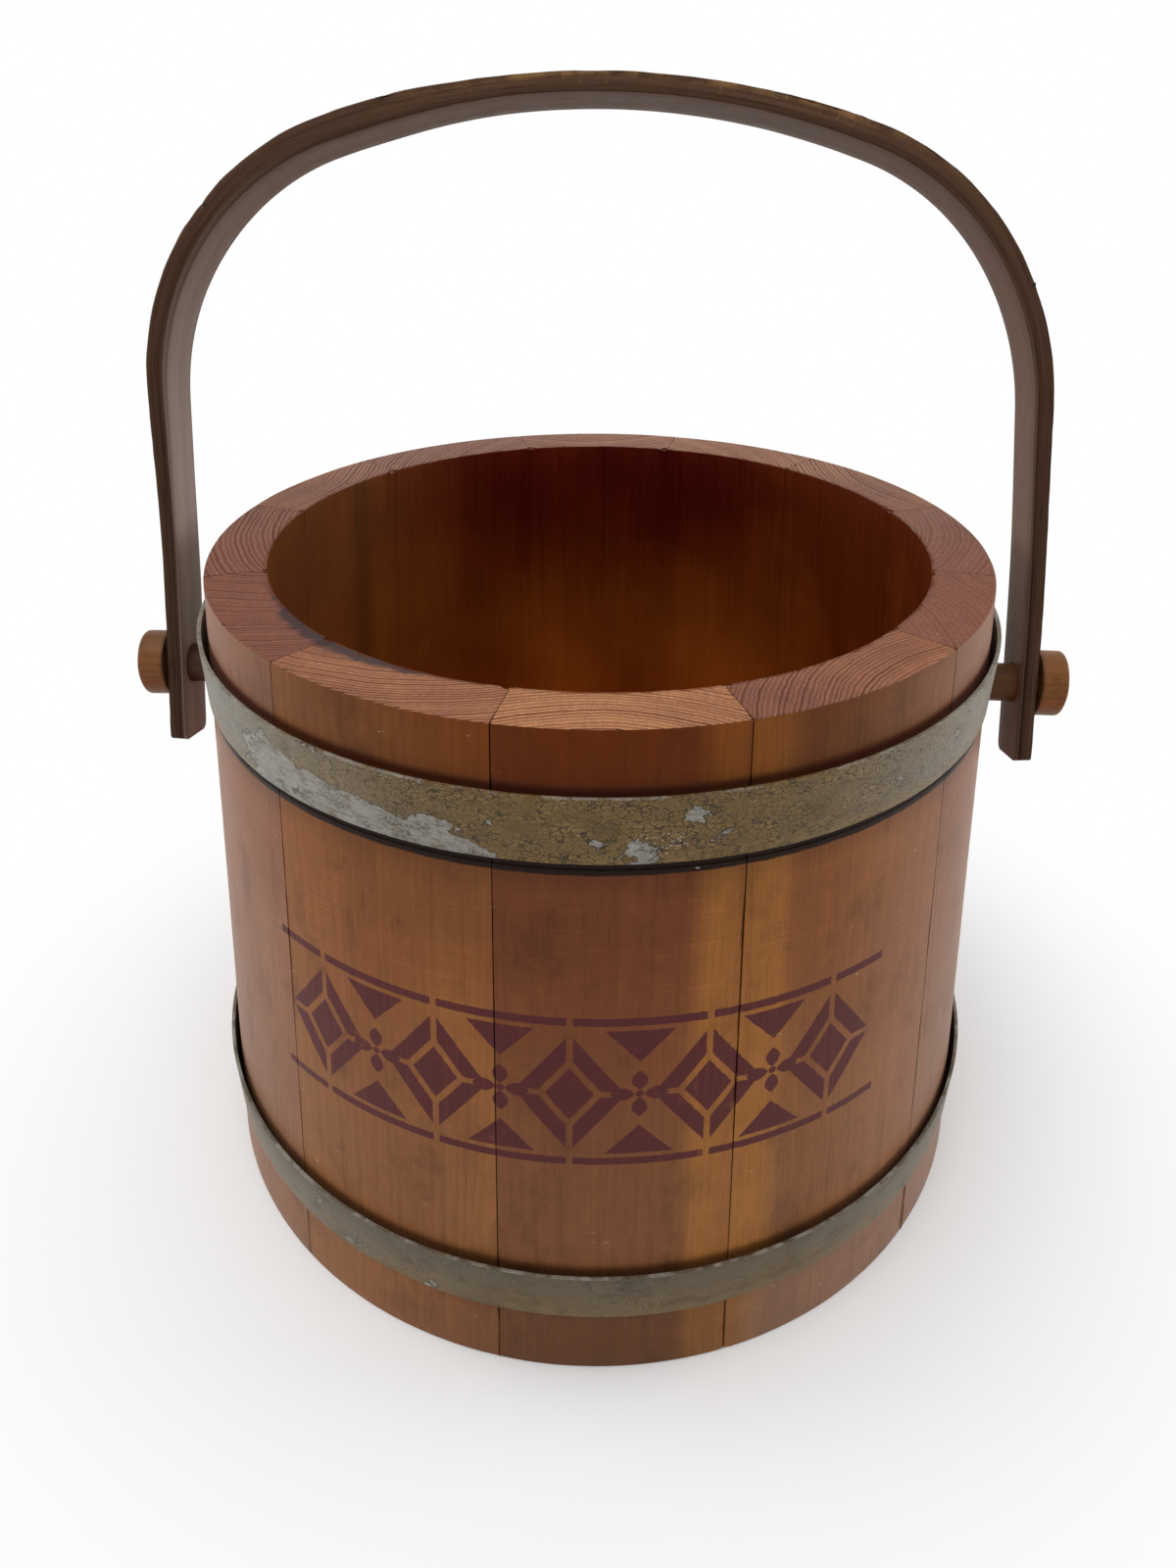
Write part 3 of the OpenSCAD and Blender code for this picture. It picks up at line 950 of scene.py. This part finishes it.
def stave_finish(node):
    """Lacquered softwood, darker within, with worn end grain at the rim; painted shade darkens the inside and
    the wall round the hoops, and painted sheen pinks the sides.
    """
    wood = WOODS[node]
    begin, end = ends_of(node)
    half_share = (end - begin) / 2
    finish = Finish("lacquered_" + node)
    noise = finish.noise
    place = finish.place()
    x, y, z = finish.split(place)
    centred = finish.node("ShaderNodeMapping", {}, {
        "Vector": place, "Rotation": (0, 0, -math.pi / 2 - (begin + end) / 2)})
    across, front, along = finish.split(centred)
    turn = x.turn_from(0 - y)
    wall = z * WALL_SLOPE + FOOT_R
    through = 0 - front - wall
    sunk = wall - finish.length(finish.point(x, y, 0))
    to_joint = (half_share - abs(across.turn_from(0 - front))) * wall
    normal_z = finish.facing()[2]
    hoop_low, hoop_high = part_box("upper_hoop")
    end_grain = abs(normal_z).rise(0.55, 0.8) * (1 - z.near(hoop_low.z - SEAT_STOP, 4 * MM).rise(0, 0.1))
    within = sunk.rise(WALL_T - 2.4 * MM, WALL_T - 1.2 * MM) * (1 - end_grain)

    board = finish.point(across, through, along)
    rings = growth_rings(finish, board, wood.pith, wood.spacing, 5.0)
    bands, fine, pores = fibres(finish, board)
    mottle = noise(place, scale=26, detail=3)
    grime = noise(place, scale=150, detail=4, roughness=0.65)
    specks = noise(place, scale=520, detail=2)

    # The outer face
    drift = noise(place, by=(1, 1, 0.4), scale=16, detail=3, roughness=0.55)
    tone = bands.swing(0.7) + mottle.swing(0.7) + drift.swing(1.6) + 0.55
    face = finish.blend(wood.deep, wood.pale, tone)
    face = face.blend(OCHRE, (1 - z.rise(70, 165, MM)) * 0.22)
    # Painted sheen: pinkish grey over the sides and the back
    face = face.blend(ROSE_SHEEN, abs(turn).rise(36, 64, DEG) * 0.30)
    if node in ("stave_02", "stave_03"):
        edge = 17.0 * DEG if node == "stave_02" else 21.3 * DEG
        ragged = noise(board, by=(60, 0, 3), detail=3).swing(5 * DEG)
        stripe = (turn + ragged).near(edge, 6.4 * DEG).rise(0.02, 0.95) * (0.45 + bands * 0.6)
        face = face.blend(AMBER, stripe * 0.8)
    if node == "stave_03":
        face = face.blend(ROSE, turn.rise(28, 46, DEG) * 0.45)
    if node == "stave_01":
        face = face.blend(AMBER, turn.rise(-26, -13, DEG) * drift.rise(0.30, 0.62) * 0.45)
    streaks = noise(board, by=(160, 60, 9), detail=3).rise(0.56, 0.80)
    checks = noise(board, by=(640, 120, 11), detail=1).rise(0.77, 0.80)
    shade = 1 - rings * 0.08 - streaks * 0.15 - pores * 0.14 - checks * 0.35 + fine.swing(0.28)
    tooling = noise(board, by=(24, 24, 1500), detail=1)
    tooled = (z.near(158, 32, MM) * 0.50 + 0.12) * grime.rise(0.34, 0.62)
    shade = shade * ((tooling - 0.5) * tooled + 1)
    smudges = noise(place, by=(1, 1, 0.6), scale=62, detail=5, roughness=0.7)
    shade = shade * (1 - smudges.rise(0.48, 0.72) * 0.27) * (grime.swing(0.36) + 1)
    # Painted shade: a thin dark band just above the upper hoop's top edge
    shade_above_hoop = z.near(hoop_high.z, 2.6 * MM)
    # Painted shade: the wall darker for a short way below the upper hoop
    shade_below_hoop = z.near(hoop_low.z - 3.0 * MM, 9 * MM) * 0.22
    # Painted shadow: a black line just under the upper hoop
    shadow_under_hoop = (z + grime.swing(0.9 * MM)).near(hoop_low.z - 1.7 * MM, 3.8 * MM).rise(0.28, 0.50)
    foot_low, foot_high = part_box("lower_hoop")
    # Painted shade: a thin dark band just above the lower hoop
    shade_above_lower_hoop = z.near(foot_high.z, 3.5 * MM) * 0.55
    collar = z.rise(hoop_high.z - 5 * MM, hoop_high.z + 2 * MM) * (0.36 - abs(turn).rise(30, 60, DEG) * 0.3)
    foot = 1 - z.rise(foot_low.z - 2 * MM, foot_low.z + 2 * MM)
    dark_foot = foot * turn.near(5, 34, DEG) * 0.36
    # Painted shade: the wall darker below the upper hoop towards the front left
    front_shade_below_hoop = z.rise(135, 168, MM) * (1 - z.rise(hoop_low.z, hoop_low.z + 2 * MM))
    front_shade_below_hoop = front_shade_below_hoop * turn.near(-12, 44, DEG)
    for dimmed in (shade_above_hoop * 0.25, shade_below_hoop, shade_above_lower_hoop, collar, dark_foot, front_shade_below_hoop * 0.20):
        shade = shade * (1 - dimmed)
    # Painted sheen: the foot paler and pinker on the right
    face = face.blend(ROSE_SHEEN, foot * turn.rise(18, 25, DEG) * 0.5)
    warmed = z.rise(hoop_high.z, hoop_high.z + 3 * MM) * turn.near(2, 38, DEG)
    face = face.blend(WARMTH, warmed, "MULTIPLY")
    # Painted shade above the upper hoop, in dark red
    face = face.shade(shade).blend(MAROON_SHADE, shade_above_hoop * 0.85)
    # Painted shadow under the upper hoop
    face = face.blend(JOINT_AND_SHADE_DARK, shadow_under_hoop * 0.96)
    dots = specks.rise(0.72, 0.76) * (1 - within)
    face = face.blend(UMBER, dots * 0.6)
    scuffs = noise(place, by=(300, 300, 900), detail=1).rise(0.76, 0.80) * grime.rise(0.5, 0.6)
    face = face.blend(PALE_DUST, scuffs * 0.45)
    scraped = turn.near(3, 7, DEG) * z.near(58, 5, MM)
    scrapes = noise(board, by=(90, 0, 1900), detail=2).rise(0.60, 0.70)
    face = face.blend(PALE_DUST, scrapes * scraped.rise(0.1, 0.9) * fine.rise(0.42, 0.6) * 0.7)

    # The border round the front
    if node in ("stave_12", "stave_01", "stave_02", "stave_03", "stave_04"):
        rough = noise(place, scale=700, detail=2)
        paint = ornament(finish, turn, z, rough) * (1 - within) * (1 - end_grain)
        thin = (fine.rise(0.50, 0.86) * 0.12 + pores * 0.08 + grime.rise(0.62, 0.74) * 0.22).least(0.4)
        faded = finish.blend(BURGUNDY, UMBER, grime.rise(0.5, 0.9) * 0.3)
        face = face.blend(faded, paint * (0.97 - thin))

    # The inside, painted darker towards the mouth and darkest at the back's top: painted shade
    glow = bands.swing(0.6) + mottle.swing(0.9) + drift.swing(1.2) + 0.5
    lining = finish.blend(INSIDE_DEEP, INSIDE_WARM, glow - z.rise(110, 215, MM) * 0.5)
    lining = lining.shade(1.30 - z.rise(70, 215, MM) * 0.70 - rings * 0.08 + fine.swing(0.4))
    streak = turn.near(-121, 4.5, DEG) * z.rise(120, 160, MM)
    lining = lining.shade(1 - streak * 0.45)
    lining = lining.blend(INSIDE_BROWN, (turn + 100 * DEG).near(0, 62, DEG) * 0.28)
    # Painted shade: the back of the inside darkest near the mouth
    lining = lining.blend(INSIDE_SHADE_TINT, abs(turn).rise(120, 165, DEG) * z.rise(140, 210, MM), "MULTIPLY")
    board_low, board_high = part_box("bottom_board_middle")
    under_boards = finish.blend(RIM_ROSE, RIM_TAN, bands).shade(1 - rings * 0.2 + fine.swing(0.4))
    lining = under_boards.blend(lining, z.rise(board_low.z, board_high.z))
    colour = face.blend(lining, within)

    # The rim and the foot
    end_face = finish.blend(wood.rim, RIM_ROSE, mottle.swing(2.2) + wood.rose)
    # Painted sheen: the rim paler and greyer towards the back
    end_face = end_face.blend(RIM_SHEEN, abs(turn).rise(66, 130, DEG) * 0.5)
    grit = noise(place, scale=1300, detail=2, roughness=0.7)
    end_face = end_face.shade(1 + grit.swing(0.9) + grime.swing(0.35))
    rays = noise(board, by=(900, 160, 0), detail=3, roughness=0.7)
    lines = rings * (0.72 + grit * 0.7) * wood.lines
    end_face = end_face.blend(RIM_LINE, lines)
    end_face = end_face.shade(1 + rays.swing(0.5))
    end_face = end_face.blend(PALE_DUST, grit.rise(0.68, 0.80) * 0.45 * grime.rise(0.42, 0.60))
    scratches = noise(board, by=(260, 1500, 0), detail=1).rise(0.74, 0.79)
    end_face = end_face.blend(PALE_DUST, scratches * grime.rise(0.46, 0.56) * 0.5)
    if node in ("stave_12", "stave_01"):
        from_mouth = WALL_T - sunk
        reach = turn.near(-40, 30, DEG) * (5.4 * MM) + grime.swing(7 * MM)
        stain = (1 - (from_mouth - reach).rise(-1.6, 1.2, MM)) * turn.near(-42, 34, DEG).rise(0, 0.3)
        end_face = end_face.blend(IRON_STAIN, stain * 0.88)
    end_face = end_face.shade(1 - sunk.rise(WALL_T - 2.5 * MM, WALL_T) * 0.25)
    runs = noise(place, scale=210, detail=4, roughness=0.65)
    over_edge = (sunk + runs.swing(5.5 * MM) - WALL_T + 0.9 * MM).rise(0, 0.25, MM)
    end_face = end_face.blend(lining, over_edge * 0.7)
    colour = colour.blend(end_face, end_grain)

    # Dark lines where the staves meet
    seam = (1 - to_joint.rise(0.05, 0.30, MM)) * (0.3 + grime * 0.7)
    colour = colour.blend(JOINT_AND_SHADE_DARK, seam * (0.8 - within * 0.6))

    roughness = 0.40 + fine.swing(0.16) + grime.swing(0.18) + end_grain * 0.26 + within * 0.04
    height = fine * 0.5 + tooling * 0.22 - rings * 0.35 - pores * 0.5 + mottle * 0.6
    height = height + grit * (end_grain * 1.6)
    finish.surface(colour, roughness, height, 0.09 * MM, specular=0.08)
    return finish.material


def board_finish(node, shift_by):
    """The bottom boards: dark lacquer above, bare and dusty below."""
    finish = Finish("floor_" + node)
    place = finish.place()
    along, across, z = finish.split(place)
    board = finish.point(across + shift_by * MM, z, along)
    rings = growth_rings(finish, board, (12, -60), 2.2, 7.0)
    bands, fine, pores = fibres(finish, board)
    grime = finish.noise(place, scale=90, detail=4, roughness=0.6)
    under = (0 - finish.facing()[2]).rise(0.3, 0.6)
    top = finish.blend(INSIDE_DEEP, INSIDE_WARM, bands.swing(1.6) + 0.5)
    bare = finish.blend(RIM_ROSE, RIM_TAN, bands.swing(1.8) + 0.4)
    colour = top.blend(bare, under)
    colour = colour.shade(1 - rings * 0.4 - pores * 0.2 + fine.swing(0.4) - grime.rise(0.5, 0.8) * 0.3)
    roughness = 0.42 + under * 0.25 + grime.swing(0.2)
    height = fine * 0.5 - rings * 0.4 - pores * 0.6
    finish.surface(colour, roughness, height, 0.09 * MM, specular=0.15)
    return finish.material


def peg_finish(name, stripe_z, tone, shank_shade):
    """Honey-coloured dowel with one amber stripe along it, and its shank darkened by painted shade between
    the handle and the wall.
    """
    finish = Finish(name)
    place = finish.place()
    along, across, z = finish.split(place)
    height = z - peg_z
    board = finish.point(across, height, along)
    rings = growth_rings(finish, board, (3, -19), 1.7, 1.5)
    bands, fine, pores = fibres(finish, board)
    end = abs(finish.facing()[0]).rise(0.7, 0.9)
    colour = finish.blend(PEG_HONEY, HONEY, bands.swing(1.6) + 0.3)
    colour = colour.blend(PEG_AMBER, height.near(stripe_z * MM, 3.6 * MM) * 0.9)
    grime = finish.noise(place, scale=260, detail=4, roughness=0.6)
    # A tone below 1 darkens the whole peg: painted shade on the left peg
    colour = colour.shade(tone - rings * (0.18 + end * 0.35) - pores * 0.18 + fine.swing(0.4)
                          - grime.rise(0.52, 0.75) * 0.25)
    # Painted shade on the shank, between the handle and the wall
    shank = (head_x - abs(along)).rise(0, 4, MM)
    colour = colour.shade(1 - shank * (1 - shank_shade))
    # Painted shade in a ring where the head meets the handle
    shade_at_handle = (head_x + 1.2 * MM - abs(along)).rise(0, 1.2, MM)
    colour = colour.blend(JOINT_AND_SHADE_DARK, shade_at_handle * 0.5)
    roughness = 0.42 + end * 0.2 + grime.swing(0.15)
    finish.surface(colour, roughness, fine * 0.5 - rings * 0.4 - pores * 0.5, 0.08 * MM, specular=0.18)
    return finish.material


def handle_finish():
    """Dark walnut stain, satin, rubbed to gold along the crown's outer edges, with painted sheen on its
    underside, most on the left leg, and painted shade along the underside's edges.
    """
    finish = Finish("dark_walnut")
    noise = finish.noise
    strip = finish.node("ShaderNodeAttribute", {"attribute_name": "strip"}, output="Vector")
    along, across, height = finish.split(strip)
    board = finish.point(across, height, along)
    place = finish.place()
    bands = noise(board, by=(150, 260, 4), detail=3)
    fine = noise(board, by=(1100, 1100, 22), detail=3, roughness=0.6)
    pores = noise(board, by=(2400, 2400, 55), detail=1).rise(0.58, 0.72)
    grime = noise(place, scale=120, detail=4, roughness=0.65)
    colour = finish.blend(WALNUT_DEEP, WALNUT, bands.swing(1.6) + 0.45)
    plies = noise(board, by=(0, 900, 1.5), detail=1).rise(0.52, 0.66)
    legs = abs(along).rise(60, 210, MM)
    colour = colour.shade(1.12 - legs * 0.30 - pores * 0.35 + fine.swing(1.0) - plies * 0.34)
    off_edge = (STRIP_W / 2 - abs(across)) + (STRIP_T - height)
    crown = 1 - abs(along - 25 * MM).rise(40, 95, MM)
    rubbed = (1 - off_edge.rise(0.8, 2.6, MM)) * (0.06 + crown * 0.85)
    rubbed = rubbed * (grime * 0.7 + fine * 0.5).rise(0.50, 0.72)
    colour = colour.blend(RUBBED_GOLD, rubbed * 0.75)
    flecks = noise(place, scale=950, detail=1).rise(0.60, 0.70) * grime.rise(0.42, 0.58)
    colour = colour.blend(RUBBED_GOLD, flecks * height.rise(0, STRIP_T) * crown * 0.6)
    under = 1 - height.rise(0.25, 1.0, MM)
    # Painted sheen: the underside lightened, most on the left leg
    bare = finish.blend(WALNUT_SHEEN, WALNUT_PALE_SHEEN, legs * (0.12 + (0 - along).rise(0, 120, MM) * 0.88))
    colour = colour.blend(bare, under * (0.45 + legs * 0.40) * (0.65 + bands * 0.6))
    # Painted shade along the edges where the underside meets the sides
    inner_edge = (STRIP_W / 2 - abs(across)) + abs(height)
    colour = colour.shade(1 - (1 - inner_edge.rise(0.3, 1.2, MM)) * 0.42)
    roughness = 0.40 + fine.swing(0.2) + grime.swing(0.2) - rubbed * 0.05
    relief = fine * 0.6 - pores * 0.8 + bands * 0.3
    finish.surface(colour, roughness, relief, 0.10 * MM, specular=0.025)
    return finish.material


def hoop_finish(node, crackled):
    """Dull zinc under yellowed lacquer; crackled, from 0 to 1, is how far it has crazed and flaked."""
    finish = Finish("aged_" + node)
    noise = finish.noise
    place = finish.place()
    x, y, z = finish.split(place)
    turn = x.turn_from(0 - y)
    level = (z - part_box(node)[0].z) / hoop_w
    flat = finish.scaled(place, 1, 1, 1.9)
    broad = noise(flat, scale=34, detail=3)
    middle = noise(flat, scale=150, detail=4, roughness=0.6)
    fine = noise(flat, scale=800, detail=3, roughness=0.7)
    warped = finish.node("ShaderNodeVectorMath", {"operation": "MULTIPLY_ADD"}, {
        0: finish.node("ShaderNodeTexNoise", {}, {"Vector": flat, "Scale": 300.0, "Detail": 2.0}, "Color"),
        1: (4.0 * MM,) * 3, 2: flat})
    from_crack = finish.cells(warped, 440, "DISTANCE_TO_EDGE")
    crazing = 1 - from_crack.rise(0.015, 0.09)
    hairs = 1 - finish.cells(warped, 1050, "DISTANCE_TO_EDGE").rise(0.03, 0.15)
    # Painted sheen on the hoop's sides: greyer there, with fewer cracks and less gilt
    sheen_on_sides = abs(turn - 5 * DEG).rise(14, 54, DEG)
    cracks = (crazing * middle.rise(0.34, 0.56) + hairs * broad.rise(0.40, 0.58) * 0.6) * (1 - sheen_on_sides * 0.7)
    cracks = cracks * crackled

    lacquer = finish.blend(OLIVE, TAN_LACQUER, middle.swing(3.4) + 0.38)
    # Grey-green, partly at random and partly on the sides as painted sheen
    lacquer = lacquer.blend(GREY_GREEN, sheen_on_sides * (0.3 + crackled * 0.5) + broad.swing(1.3) + 0.12)
    lacquer = lacquer.blend(TAN_LACQUER, (1 - level.rise(0.04, 0.26)) * 0.55)
    golden = broad.rise(0.40, 0.58) * (1 - sheen_on_sides) * crackled
    lacquer = lacquer.blend(GILT, golden * 0.32)
    greyed = (level + middle.swing(0.6)).rise(0.35, 0.80) * (1 - crackled)
    lacquer = lacquer.blend(SLATE, greyed * 0.9)
    blotches = noise(flat, scale=95, detail=5, roughness=0.7).rise(0.50, 0.68)
    # Curled lacquer beside the cracks: raised in the relief, and lightened in colour as a painted highlight
    curled_edge_and_highlight = from_crack.rise(0.07, 0.13) * (1 - from_crack.rise(0.16, 0.30)) * crackled
    lacquer = lacquer.shade(0.76 + crackled * 0.26 + curled_edge_and_highlight * 0.20 + fine.swing(0.8) - blotches * 0.32)
    colour = lacquer.blend(CRACK, cracks.least(1.0) * 0.88)

    # Flakes: a long one low on the left of the front, small ones round the rest
    torn = noise(place, by=(1, 1, 1.3), scale=85, detail=5, roughness=0.62)
    left = turn.rise(-50, -42, DEG) * (1 - turn.rise(-13, -4, DEG))
    lean = 0.80 - (turn + 40 * DEG) * (0.75 / (36 * DEG))
    long_flake = left * (1 - (level - lean).rise(-0.22, 0.10)) * 0.34
    right = turn.near(9, 10, DEG) * (1 - level.rise(0.2, 0.5)) * 0.16
    bare = torn + (long_flake + right) * crackled + (crackled - 1) * 0.075
    flakes = bare.rise(0.655, 0.672)
    outline = bare.rise(0.630, 0.655) * (1 - flakes)
    metal = finish.blend(ZINC, GREY_GREEN, (middle - 0.4) * 1.6).shade(0.9 + fine.swing(0.5))
    metal = metal.blend(CRACK, fine.rise(0.56, 0.70) * 0.6)
    scored = noise(place, by=(1, 1, 3.5), scale=260, detail=4, roughness=0.7)
    metal = metal.blend(OLIVE, scored.rise(0.50, 0.62) * 0.6)
    metal = metal.blend(CRACK, crazing * middle.rise(0.5, 0.6) * 0.7)
    colour = colour.blend(CRACK, outline * 0.75)
    colour = colour.blend(metal, flakes)
    pits = finish.cells(place, 1100).rise(0.10, 0.34)
    specks = (1 - pits) * (turn.near(8.5, 6, DEG) * level.near(0.3, 0.3)).rise(0.15, 0.5) * crackled
    colour = colour.blend(PALE_DUST, specks * 0.8)

    upward = finish.facing()[2]
    # Painted highlight: zinc tone on the hoop's upward-facing top edge
    top_edge_highlight = upward.rise(0.35, 0.75)
    colour = colour.blend(ZINC, top_edge_highlight * middle.rise(0.44, 0.62) * 0.6)
    # Painted shade: faces that look down are darkened
    colour = colour.blend(CRACK, (0 - upward).rise(0.3, 0.7) * 0.7)
    grime = noise(place, scale=60, detail=4, roughness=0.6).rise(0.52, 0.76)
    colour = colour.shade(1 - grime * 0.25)
    roughness = 0.46 + fine.swing(0.2) - flakes * 0.04
    height = 1 - flakes - cracks * 0.8 + curled_edge_and_highlight * 0.3 + fine * 0.35 + middle * 0.4
    finish.surface(colour, roughness, height, 0.10 * MM, specular=0.25, metallic=flakes * 0.25 + 0.05)
    return finish.material


def rivet_finish(name):
    """Hammered zinc heads, with fine dark specks."""
    finish = Finish(name)
    place = finish.place()
    middle = finish.noise(place, scale=420, detail=3)
    fine = finish.noise(place, scale=1600, detail=2)
    colour = finish.blend(ZINC, GREY_GREEN, middle.swing(2) + 0.5)
    colour = colour.blend(CRACK, fine.rise(0.6, 0.72) * 0.5)
    roughness = 0.42 + fine.swing(0.25)
    finish.surface(colour, roughness, middle * 0.7 + fine * 0.3, 0.12 * MM, metallic=0.45)
    return finish.material


# Putting the firkin together


def fit(piece, node, material):
    """The piece stands for its node, in its finish, and moves with the node's body."""
    piece.data.materials.clear()
    piece.data.materials.append(material)
    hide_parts(node)
    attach(piece, "bail" if node == "handle" else "bucket")


def build_bucket():
    section = wall_section()
    staves = {node: stave(node, section) for node in WOODS}
    remove(section)
    peg_hole(staves["stave_05"], 1)
    peg_hole(staves["stave_11"], -1)
    chip_rim(staves, RIM_CHIPS, RIM_R - WALL_T + 0.2 * MM, 0.55)
    chip_rim(staves, EDGE_CHIPS, RIM_R - 0.1 * MM, 0.8)
    for node, piece in staves.items():
        wear_stave(piece, node)
        smooth(piece)
        fit(piece, node, stave_finish(node))
    for place, shift_by in (("front", 31), ("middle", 4), ("back", -26)):
        node = "bottom_board_" + place
        fit(bottom_board(node), node, board_finish(node, shift_by))


def build_hoops():
    for node, crackled in (("upper_hoop", 1.0), ("lower_hoop", 0.3)):
        fit(hoop(node), node, hoop_finish(node, crackled))
        heads = node + "_rivets"
        fit(rivets(heads, node), heads, rivet_finish("hammered_" + heads))


def build_handle():
    right = right_peg()
    left = left_peg(right)
    # The left peg gets a darker tone and shank: painted shade
    fit(right, "right_peg", peg_finish("honey_right_peg", -2.5, 1.0, 0.95))
    fit(left, "left_peg", peg_finish("honey_left_peg", -3.0, 0.84, 0.55))
    fit(handle(), "handle", handle_finish())


# Camera, light and floor


def set_camera():
    """Close in front of the firkin, looking down at it."""
    place = Vector((10.62, -338.33, 346.9)) * MM
    yaw, pitch, roll = -2.32 * DEG, 32.88 * DEG, 0.31 * DEG
    ahead = Vector((math.sin(yaw) * math.cos(pitch), math.cos(yaw) * math.cos(pitch), -math.sin(pitch)))
    level_right = Vector((math.cos(yaw), -math.sin(yaw), 0))
    level_up = level_right.cross(ahead)
    right = level_right * math.cos(roll) + level_up * math.sin(roll)
    up = level_up * math.cos(roll) - level_right * math.sin(roll)
    lens = bpy.data.cameras.new("camera")
    lens.lens = 25.55
    lens.sensor_width = 36
    lens.clip_start = 0.01
    camera = bpy.data.objects.new("camera", lens)
    bpy.context.scene.collection.objects.link(camera)
    axes = Matrix((right, up, -ahead)).transposed()
    camera.matrix_world = Matrix.Translation(place) @ axes.to_4x4()
    bpy.context.scene.camera = camera


LAMP_AIM = Vector((0, 0, 120 * MM))


def set_lamp(name, place, size, power):
    lamp = bpy.data.lights.new(name, "AREA")
    lamp.shape = "DISK"
    lamp.size = size
    lamp.energy = power
    holder = bpy.data.objects.new(name, lamp)
    bpy.context.scene.collection.objects.link(holder)
    holder.location = place
    holder.rotation_euler = (LAMP_AIM - Vector(place)).to_track_quat("-Z", "Y").to_euler()


def set_world():
    """White to the eye and in reflections, and dimmer as a light."""
    world = bpy.data.worlds.new("white_room")
    bpy.context.scene.world = world
    finish = Finish("white_room", world)
    strength = finish.plain_sight() * 0.48 + 0.52
    ground = finish.node("ShaderNodeBackground", {}, {"Color": (1, 1, 1, 1), "Strength": strength})
    finish.node_out(ground, "ShaderNodeOutputWorld")


def set_floor():
    """A pale floor that keeps the firkin's shadow and goes to white further out."""
    floor = open_new(bpy.ops.mesh.primitive_circle_add, "floor", vertices=96, radius=6, fill_type="NGON")
    bpy.ops.object.mode_set(mode="OBJECT")
    finish = Finish("pale_floor")
    x, y, _ = finish.split(finish.place())
    far_off = finish.length(finish.point(x, y, 0)).rise(110, 310, MM)
    plain = finish.node("ShaderNodeBsdfDiffuse", {}, {"Color": (0.94, 0.94, 0.94, 1)})
    white = finish.node("ShaderNodeEmission", {}, {"Color": (1, 1, 1, 1), "Strength": 1.0})
    seen_far_off = far_off * finish.plain_sight()
    finish.node_out(finish.node("ShaderNodeMixShader", {}, {0: seen_far_off, 1: plain, 2: white}))
    floor.data.materials.append(finish.material)


build_bucket()
build_hoops()
build_handle()
set_camera()
set_lamp("soft_top", (-0.25, -0.25, 1.6), 1.2, 9.0)
set_lamp("soft_left", (-1.2, 0.25, 0.55), 0.8, 5.0)
set_lamp("soft_right", (1.2, 0.25, 0.55), 0.8, 5.0)
set_world()
set_floor()
bpy.context.scene.view_settings.view_transform = "Standard"
